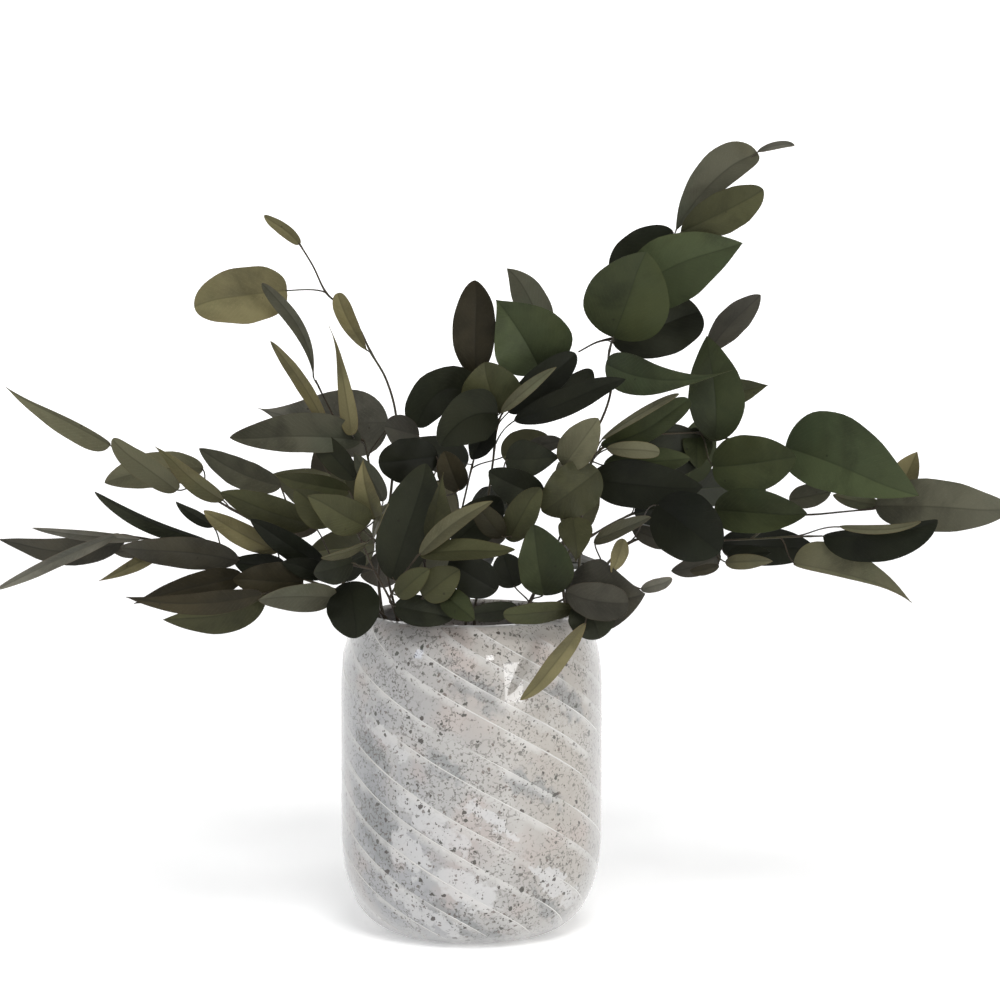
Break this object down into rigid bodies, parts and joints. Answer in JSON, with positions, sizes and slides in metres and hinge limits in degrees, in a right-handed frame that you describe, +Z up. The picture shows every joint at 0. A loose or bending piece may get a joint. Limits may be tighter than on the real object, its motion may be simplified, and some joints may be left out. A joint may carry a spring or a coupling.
{
  "type": "dried eucalyptus stems in vase",
  "caption": "Rounded, wide-mouthed glass vase holding a fan of dried, broad-leaved eucalyptus stems that lean on its lip.",
  "frame": {"origin": "middle of the vase's flat foot, on the surface it stands on", "axes": "+Z up along the vase's axis; +X along the spread of the stems, to the right of the front view; the front faces -Y"},
  "size_m": [0.6975, 0.3856, 0.5559],
  "materials": {
    "cased_glass": "glossy thick cased art glass, mottled pale grey with dark specks and thin white spiral lines",
    "dried_leaf_ash": "matte waxy dried leaf on a brown woody stem",
    "dried_leaf_black": "matte waxy dried leaf on a brown woody stem",
    "dried_leaf_brown": "matte waxy dried leaf on a brown woody stem",
    "dried_leaf_dark": "matte waxy dried leaf on a brown woody stem",
    "dried_leaf_green": "matte waxy dried leaf on a brown woody stem",
    "dried_leaf_light": "matte waxy dried leaf on a brown woody stem",
    "dried_leaf_mauve": "matte waxy dried leaf on a brown woody stem",
    "dried_leaf_olive": "matte waxy dried leaf on a brown woody stem",
    "dried_leaf_pale": "matte waxy dried leaf on a brown woody stem"
  },
  "bodies": {
    "root": {"vase": "cased_glass", "stem_left_high": "dried_leaf_light", "stem_left_mid": "dried_leaf_ash", "stem_left_upper": "dried_leaf_pale", "stem_left_lower": "dried_leaf_ash", "stem_left_low": "dried_leaf_brown", "stem_left_front": "dried_leaf_olive", "stem_centre_left": "dried_leaf_dark", "stem_front": "dried_leaf_pale", "stem_centre_right": "dried_leaf_green", "stem_low_right": "dried_leaf_mauve", "stem_top": "dried_leaf_brown", "stem_upper_right": "dried_leaf_green", "stem_right_mid": "dried_leaf_green", "stem_far_right": "dried_leaf_black", "stem_back_left": "dried_leaf_olive", "stem_back": "dried_leaf_olive", "stem_back_right": "dried_leaf_green"}
  },
  "joints": []
}
